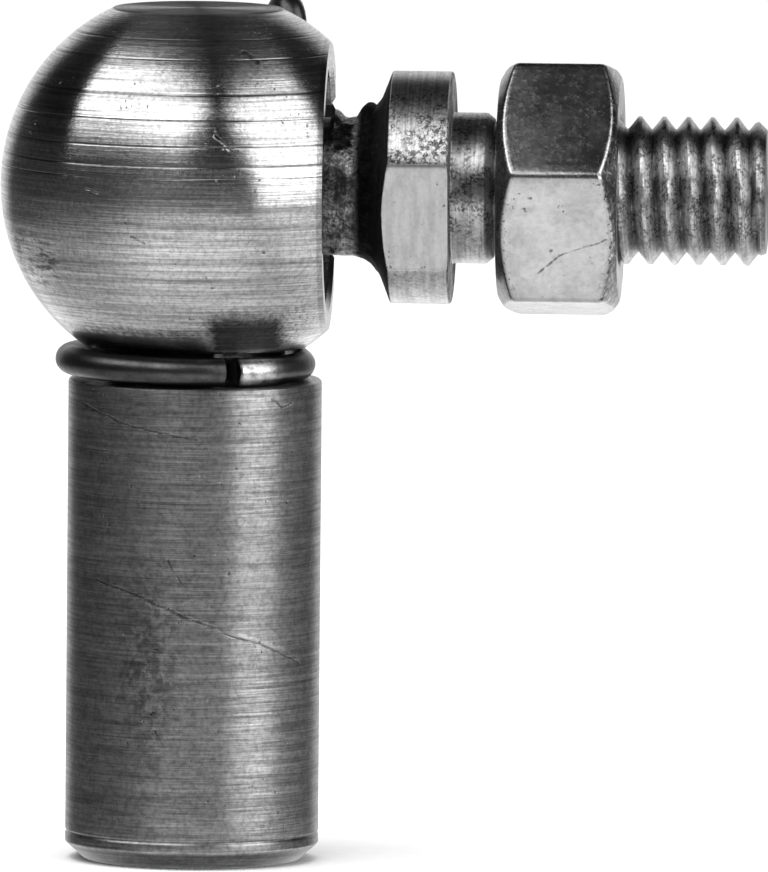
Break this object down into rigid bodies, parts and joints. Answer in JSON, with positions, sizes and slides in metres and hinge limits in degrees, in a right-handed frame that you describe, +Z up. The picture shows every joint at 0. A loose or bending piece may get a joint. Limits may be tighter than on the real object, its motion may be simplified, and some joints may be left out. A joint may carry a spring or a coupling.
{
  "type": "angle ball joint",
  "caption": "Steel angle ball joint: a ball stud with a nut swings in a round socket on a tapped shank, held by a snap ring and a wire safety clip.",
  "frame": {"origin": "centre of the shank's bottom face, at the mouth of its tapped hole", "axes": "+Z up the shank to the head, +X along the ball stud at rest"},
  "size_m": [0.0254, 0.0139, 0.0283],
  "materials": {
    "socket_steel": "bare turned steel with fine tool marks, light wear and small pits",
    "stud_steel": "bare turned steel, greasy and mottled at the neck, rolled thread",
    "nut_steel": "plain steel with a bright, slightly scratched surface",
    "clip_wire": "dark drawn spring wire with a soft sheen",
    "ring_wire": "dark drawn spring wire"
  },
  "bodies": {
    "socket": {"ball_socket": "socket_steel", "safety_clip": "clip_wire"},
    "ring": {"snap_ring": "ring_wire"},
    "stud": {"ball_stud": "stud_steel"},
    "nut": {"hex_nut": "nut_steel"}
  },
  "joints": [
    {"name": "stud_spin", "type": "hinge", "parent": "socket", "child": "ring", "pos_m": [0, 0, 0.0224], "axis": [1, 0, 0], "continuous": true},
    {"name": "stud_swing", "type": "hinge", "parent": "ring", "child": "stud", "pos_m": [0, 0, 0.0224], "axis": [0, 1, 0], "range_deg": [-15, 15]},
    {"name": "nut_turn", "type": "hinge", "parent": "stud", "child": "nut", "pos_m": [0.0121, 0, 0.0224], "axis": [1, 0, 0], "continuous": true}
  ]
}
